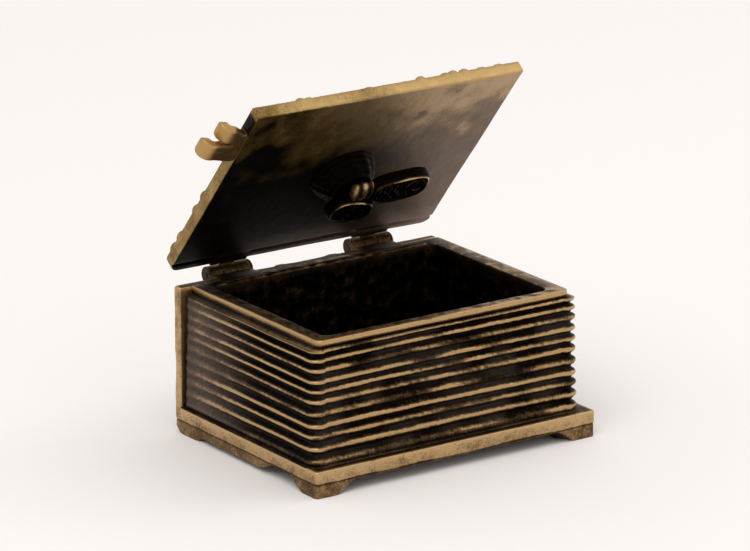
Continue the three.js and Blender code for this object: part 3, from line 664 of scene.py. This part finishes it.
count = LID_COLUMNS * LID_ROWS
loop = border_order(LID_ROWS, LID_COLUMNS)
full_x, full_s = (g.ravel()[loop] for g in lid_grid(0.0))
across_end = np.clip(full_x / half_x, -1, 1)
near_x, near_s = (g.ravel()[loop] for g in lid_grid(0.12))
outer_edge = outer_h.ravel()[loop]
inner_edge = inner_h.ravel()[loop]
belt = []
for px, ps, height in ((near_x, near_s, outer_edge - 0.12), (full_x, full_s, outer_edge - LID_ARRIS),
                       (full_x, full_s, 0.62 * outer_edge), (full_x, full_s, 0.36 * outer_edge),
                       (full_x, full_s, inner_edge + LID_ARRIS), (near_x, near_s, inner_edge + 0.12)):
    chip = 0.03 * wavy(np.stack([px, ps, height], -1), 7, 64)
    belt.append(on_lid(mid_x + px, ps + chip * (ps > LID_LENGTH - 1), height))
lid_points = np.concatenate([on_lid(mid_x + xs, ss, outer_h).reshape(-1, 3),
                             on_lid(mid_x + inner_x, inner_s, inner_h).reshape(-1, 3), *belt])
lid_faces = open_faces(LID_ROWS, LID_COLUMNS) + open_faces(LID_ROWS, LID_COLUMNS, count)
chains = [loop] + [2 * count + k * len(loop) + np.arange(len(loop)) for k in range(len(belt))]
chains += [count + loop]
for upper, lower in zip(chains[:-1], chains[1:]):
    lid_faces += np.stack([upper, np.roll(upper, -1), np.roll(lower, -1), lower], axis=1).tolist()
on_front = full_s > LID_LENGTH - 1
# Painted shade: the lid's edge is darker beside the ribbon's root.
by_ribbon = ((full_x < 0) * smooth(full_s, LID_LENGTH - 9, LID_LENGTH - 7.5)
             * smooth(LID_LENGTH - 1.2 - full_s, 0, 1))
belt_rub = 0.66 + 0.08 * np.sin(full_x / 5) + 0.14 * on_front * (1 + across_end) - 0.5 * by_ribbon
belt_rub = np.tile(belt_rub, len(belt))
piece("lid_with_owl_relief", lid_points, lid_faces, "lid", lid_brass,
      np.concatenate([outer_rub.ravel(), inner_rub.ravel(), belt_rub]),
      np.concatenate([np.zeros(count), inner_haze.ravel(), np.zeros(len(belt_rub))]),
      ("lid_cover", "owl_relief", "perch_relief", "foliage_border"), 60)


# ---- Hinges ----------------------------------------------------------------------------------
# Two three-knuckle butt hinges in cast brass, filed rather than rubbed. The outer knuckles are
# soldered to the spine, the middle one to the lid, and a pin with a domed head runs through.

# Filed brass under an old brown-green film, dull except on the knuckles' rims.
hinge_brass = cast_brass("filed_brass_hinge", "#0d0905", "#3f301c", "#96794e", 0.8, -0.1, pits=0.3, gloss=0.4)


BARREL_END = 1.6               # the lid straps start this far up from the hinge edge
# The lid straps are painted near black: their dark film, and painted shade under the lid.
STRAP_RUB = 0.02
FILED_FROM = math.radians(38)  # edges sharper than this are filed


def eased(node, name, body, width=0.18, base=0.15, haze=0.0):
    """The named CAD solid with its doubles merged and every sharp edge filed to a small round.
    Flats have base as their rub. On the lid the strap is painted near black, dark film and painted
    shade, and the grey film value lies on the strap alone, where it is a painted grey sheen."""
    mesh = frame["nodes"][node].data.copy()
    work = bmesh.new()
    work.from_mesh(mesh)
    bmesh.ops.remove_doubles(work, verts=work.verts, dist=1e-6)
    bmesh.ops.dissolve_limit(work, angle_limit=math.radians(1), verts=work.verts, edges=work.edges)
    sharp = [e for e in work.edges if e.is_manifold and e.calc_face_angle(0) > FILED_FROM]
    bmesh.ops.bevel(work, geom=sharp, offset=width * MM, segments=2, profile=0.5, affect="EDGES",
                    clamp_overlap=True)
    bmesh.ops.triangulate(work, faces=work.faces)
    tight = [sum(e.calc_face_angle(0) for e in v.link_edges) / len(v.link_edges) for v in work.verts]
    points = np.array([v.co for v in work.verts]) / MM
    faces = [[v.index for v in f.verts] for f in work.faces]
    work.free()
    rub = base + (1 - base) * np.clip(np.array(tight) / 0.35, 0, 1)
    if body == "lid":
        up_lid = (points - lid_origin) @ np.array([0, -cos_o, sin_o])
        rub = np.where(up_lid > BARREL_END, STRAP_RUB, rub)
        haze = np.where(up_lid > BARREL_END, haze, 0)
    piece(name, points, faces, body, hinge_brass, rub, haze, (node,), 35)


# The right strap gets a painted grey sheen like the lid's inner face beside it; the left one almost none.
for hand in ("left", "right"):
    eased(f"hinge_{hand}_box_leaf", f"{hand}_hinge_outer_knuckles", "base")
    eased(f"hinge_{hand}_lid_leaf", f"{hand}_hinge_middle_knuckle", "lid", base=0.12,
          haze=0.04 if hand == "left" else 0.5)
    eased(f"hinge_{hand}_pin", f"{hand}_hinge_pin_domed", "base", width=0.05)


# ---- Ribbon marker ---------------------------------------------------------------------------
# The forked end of a bookmark ribbon, cast with the lid's left edge. Its two tails curl out
# at their ends. It is handled whenever the lid is lifted, so it is the smoothest, brightest part.
# Its flat plate is painted darker than the bent tips, partly as painted shade.

# Bare yellow brass, worn smooth by fingers, with only a trace of film in the folds.
ribbon_brass = cast_brass("hand_polished_brass", "#2a1f11", "#6b5230", "#b3905c", 1.0, 0.04, pits=0.08,
                          gloss=0.38)

RIBBON_THICK = 2.4
BEND, BEND_TURN = 2.5, math.radians(112)     # radius of the bent tips, and how far they turn
lid_left = lid_low[0]
ribbon_low, _ = (np.array(corner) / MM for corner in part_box("ribbon_tail"))
ribbon_reach = lid_left - ribbon_low[0]
RIBBON_BACK = LID_LENGTH - 18.4      # where the ribbon starts, up from the hinge edge
ribbon_points, ribbon_faces, ribbon_rub = [], [], []


def tail(root, tip, half, tip_half, parted, reach):
    """A strap of rounded section from the board's edge to a bent tip. Its middle line runs straight out,
    then turns away round a circle. It slides from root to tip and narrows until it has parted."""
    steps = np.linspace(0, 1, 60)
    straight = reach - BEND - RIBBON_THICK / 2
    run = steps * (straight + BEND * BEND_TURN + 1.2) - 1.2
    angle = np.clip((run - straight) / BEND, 0, None)
    out_x = np.where(run < straight, run, straight + BEND * np.sin(angle))
    lift = np.where(run < straight, 0, BEND * (1 - np.cos(angle)))
    parting = smooth(run, 0.3, parted)
    middle = root + (tip - root) * parting
    rounded = np.sqrt(1 - np.clip((steps - 0.84) / 0.165, 0, 1) ** 2)
    width = (half + (tip_half - half) * parting) * (0.4 + 0.6 * rounded)
    turns = np.linspace(0, 2 * np.pi, 40, endpoint=False)
    wide = np.sign(np.cos(turns)) * np.abs(np.cos(turns)) ** 0.25
    thick = np.sign(np.sin(turns)) * np.abs(np.sin(turns)) ** 0.4 * RIBBON_THICK / 2
    close = np.sqrt(np.clip(1 - np.clip((steps - 0.92) / 0.082, 0, 1) ** 2, 0.03, 1))
    level = thick[None, :] * close[:, None]
    px = lid_left - (out_x[:, None] - level * np.sin(angle)[:, None])
    ph = RIBBON_THICK / 2 + lift[:, None] + level * np.cos(angle)[:, None]
    ps = middle[:, None] + width[:, None] * wide[None, :]
    points, faces = capped(on_lid(px, ps, ph), sum(len(p) for p in ribbon_points))
    ribbon_points.append(points)
    ribbon_faces.extend(faces)
    # Rubbed bright on the bent tips; the flat plate stays darker, partly from less wear and partly as painted
    # shade.
    worn = 0.4 + 0.55 * smooth(run, straight - 0.2, straight + 1.6)[:, None] + 0 * level
    worn = worn + 0.3 * smooth(np.abs(wide), 0.96, 1)[None, :]
    ribbon_rub.append(np.append(worn.ravel(), [0.9, 0.9]))


tail(RIBBON_BACK + 3.1, RIBBON_BACK + 4.6, 3.6, 3.0, 8.0, ribbon_reach)
tail(RIBBON_BACK + 7.6, RIBBON_BACK + 10.6, 3.4, 2.7, 4.4, ribbon_reach - 3.4)
piece("forked_ribbon", np.concatenate(ribbon_points), ribbon_faces, "lid", ribbon_brass,
      np.concatenate(ribbon_rub), 0.0, ("ribbon_tail",), 50)


# ---- Ornament under the lid ------------------------------------------------------------------
# A round boss with ringed, feathered sides carries a bow: a saddle, a short round lobe and a
# long one with raised rims and beads between. All is cast brass, black in the hollows.

# The same brass with the deepest pickle: rims and bead tops rubbed bright, the ground left black.
ornament_brass = cast_brass("sand_cast_brass_deep_relief", "#090503", "#43331f", "#c6a272", 1.0, -0.04,
                            pits=0.15)

boss_x, boss_s, _ = lid_place("bow_boss")
BOSS_RADIUS, BOSS_NECK, BOSS_HEIGHT = 9.5, 5.4, 6.6
STRANDS, RINGS = 13, 5         # ribs up its side, and grooves round it
turn = np.linspace(0, 2 * np.pi, 168, endpoint=False)
boss_rows, boss_rub = [], []
for share in np.linspace(0, 1, 46):
    radius = BOSS_NECK + (BOSS_RADIUS - BOSS_NECK) * (1 - share ** 1.3) ** 0.8
    fall = -BOSS_HEIGHT * share + 0.6 * (1 - share)
    strand = np.cos(STRANDS * turn + 5 * share + 2 * np.sin(2 * turn)) * 0.2 * np.sin(np.pi * share)
    rings = 0.13 * np.cos(2 * np.pi * RINGS * share + 1.5 * np.sin(turn))
    lump = 0.25 * np.sin(3 * turn + 1.2) * (1 - share)
    size = radius + strand + rings + lump
    level = np.full(len(turn), fall)
    boss_rows.append(on_lid(boss_x + size * np.cos(turn), boss_s + size * np.sin(turn), level))
    boss_rub.append(0.06 + 0.3 * strand + 0.35 * rings)
boss_points, boss_faces = capped(np.array(boss_rows))
piece("ringed_boss", boss_points, boss_faces, "lid", ornament_brass,
      np.append(np.array(boss_rub).ravel(), [0, 0.1]), 0.0, ("bow_boss",), 60)

BOW_TURN = math.radians(4)
bow_cos, bow_sin = math.cos(BOW_TURN), math.sin(BOW_TURN)
BOW_LOW, BOW_THICK = -7.1, 3.0       # the bow's back, out from the inner face, and its body's thickness
TAB_START = 11.6                     # middle of the small tab, from the saddle along the long lobe
BEAD_PITCH, CURL_REACH, CURL_PITCH = 1.7, 3.4, 2.3
saddle_x, saddle_s, _ = lid_place("bow_saddle")


def bow_at(u, v, h):
    """A place on the bow: along it, across it, and out from the lid's inner face."""
    return on_lid(saddle_x + u * bow_cos - v * bow_sin, saddle_s + u * bow_sin + v * bow_cos, h)


def lobe(node, turned, half_long, half_wide, square, scroll, bright_u, bright_v):
    """A leaf of the bow on a polar grid about its node's middle: its outline is a superellipse, its face
    a raised rim round a floor of beads, with a spiral at the far end of the long one. The rim is rubbed
    bright, with a painted highlight on the side that the last two arguments point to."""
    middle_x, middle_s, _ = lid_place(node)
    lobe_cos, lobe_sin = math.cos(turned), math.sin(turned)

    def at(u, v, h):
        """A place on the lobe: along it, across it, and out from the lid's inner face."""
        return on_lid(middle_x + u * lobe_cos - v * lobe_sin, middle_s + u * lobe_sin + v * lobe_cos, h)

    share = np.linspace(0.03, 1, 60)[:, None]
    around = np.linspace(0, 2 * np.pi, 200, endpoint=False)[None, :]
    c, s = np.cos(around), np.sin(around)
    u = half_long * np.sign(c) * np.abs(c) ** square * share
    v = half_wide * np.sign(s) * np.abs(s) ** square * share
    near, own = cells(u + 40, v + 40, BEAD_PITCH, 71)
    bead = 0.6 * np.sqrt(np.clip(1 - (near / 0.5) ** 2, 0, 1)) * (0.4 + 0.8 * own)
    if scroll:
        away = np.hypot(u - half_long * 0.55, v)
        bearing = np.arctan2(v, u - half_long * 0.55)
        curl = 0.75 * np.clip(np.cos(2 * np.pi * away / CURL_PITCH - bearing), 0, 1) ** 1.5
        bead = np.where(away < CURL_REACH, curl, bead)
    ridge = 0.6 * np.exp(-((share - 0.9) / 0.055) ** 2) + 0 * u
    inside = smooth(0.84 - share, 0, 0.05)
    rounding = np.sqrt(np.clip(1 - np.clip((share - 0.95) / 0.05, 0, 1) ** 2, 0, 1))
    face = (bead - 0.3) * inside + ridge * (0.4 + 0.6 * rounding)
    front = BOW_LOW - BOW_THICK - face + 0.6 * (1 - rounding)
    patchy = np.clip(0.65 + 0.5 * wavy(np.stack([u, v, 0 * u], -1), 9, 72), 0.1, 1.1)
    # Painted highlight: the rim is lighter on the side the light falls on.
    towards = smooth(bright_u * u / half_long + bright_v * v / half_wide, -0.25, 0.55)
    face_rub = 1.15 * ridge / 0.6 * patchy * (0.3 + 0.7 * towards)
    face_rub = face_rub + 1.3 * np.clip(bead - 0.4, 0, 1) * inside * (own > 0.45) + 0.02
    sides = [at(u[-1], v[-1], np.full(u.shape[1], h)) for h in (BOW_LOW - 2.3, BOW_LOW - 0.4)]
    behind = at(u[-1] * 0.93, v[-1] * 0.93, np.full(u.shape[1], BOW_LOW))
    points, faces = capped(np.concatenate([at(u, v, front), np.stack(sides + [behind])]))
    rub = np.concatenate([face_rub.ravel(), np.full(3 * u.shape[1], 0.12), [0.05, 0.1]])
    return points, faces, rub


LONG_HALF, LONG_WIDE, SHORT_HALF, SHORT_WIDE = 9.3, 5.1, 4.5, 7.3
SHORT_TURN = BOW_TURN + math.radians(251)
TAB_LONG, TAB_DEEP = 2.2, 1.6
long_points, long_faces, long_rub = lobe("bow_long_lobe", BOW_TURN, LONG_HALF, LONG_WIDE, 0.62, True,
                                         0.5, 0.9)
tab_turn = np.linspace(0, 2 * np.pi, 32, endpoint=False)
tab_u = TAB_LONG * np.sign(np.cos(tab_turn)) * np.abs(np.cos(tab_turn)) ** 0.35
tab_h = 1.0 * np.sign(np.sin(tab_turn)) * np.abs(np.sin(tab_turn)) ** 0.35
tab_rows = []
for depth in (0, 0.4, 1, 1.15):
    shrink = 1 - 0.12 * (depth > 1)
    tab_v = np.full(len(tab_turn), -LONG_WIDE + 0.8 - TAB_DEEP * depth)
    tab_rows.append(bow_at(TAB_START + tab_u * shrink, tab_v, BOW_LOW - 1.5 + tab_h * shrink))
tab_points, tab_faces = capped(np.array(tab_rows), len(long_points))
piece("long_beaded_lobe", np.concatenate([long_points, tab_points]), long_faces + tab_faces, "lid",
      ornament_brass, np.append(long_rub, np.full(len(tab_points), 0.85)), 0.0,
      ("bow_long_lobe",), 60)
short_points, short_faces, short_rub = lobe("bow_short_lobe", SHORT_TURN, SHORT_HALF, SHORT_WIDE, 0.8, False,
                                            -0.8, -0.6)
piece("short_beaded_lobe", short_points, short_faces, "lid", ornament_brass, short_rub,
      0.0, ("bow_short_lobe",), 60)

SADDLE_LONG, SADDLE_WIDE = 2.9, 4.4
around = np.linspace(0, 2 * np.pi, 96, endpoint=False)
saddle_rows, saddle_rub = [], []
for along in np.linspace(-1, 1, 34):
    pinch = 0.72 + 0.28 * abs(along) ** 1.5
    swell = np.sqrt(max(1 - (abs(along) ** 6), 0.05))
    ridge = 0.22 * np.cos(along * 2 * np.pi)
    half_v, half_h = (SADDLE_WIDE * pinch + ridge) * swell, (2.0 * pinch + ridge) * swell
    saddle_rows.append(bow_at(np.full(len(around), along * SADDLE_LONG), half_v * np.cos(around),
                              BOW_LOW - 1.6 + half_h * np.sin(around)))
    saddle_rub.append(0.5 + 1.3 * ridge + 0.35 * np.clip(-np.cos(around), 0, 1))
saddle_points, saddle_faces = capped(np.array(saddle_rows))
piece("ribbed_saddle", saddle_points, saddle_faces, "lid", ornament_brass,
      np.append(np.array(saddle_rub).ravel(), [0.2, 0.2]), 0.0, ("bow_saddle",), 60)
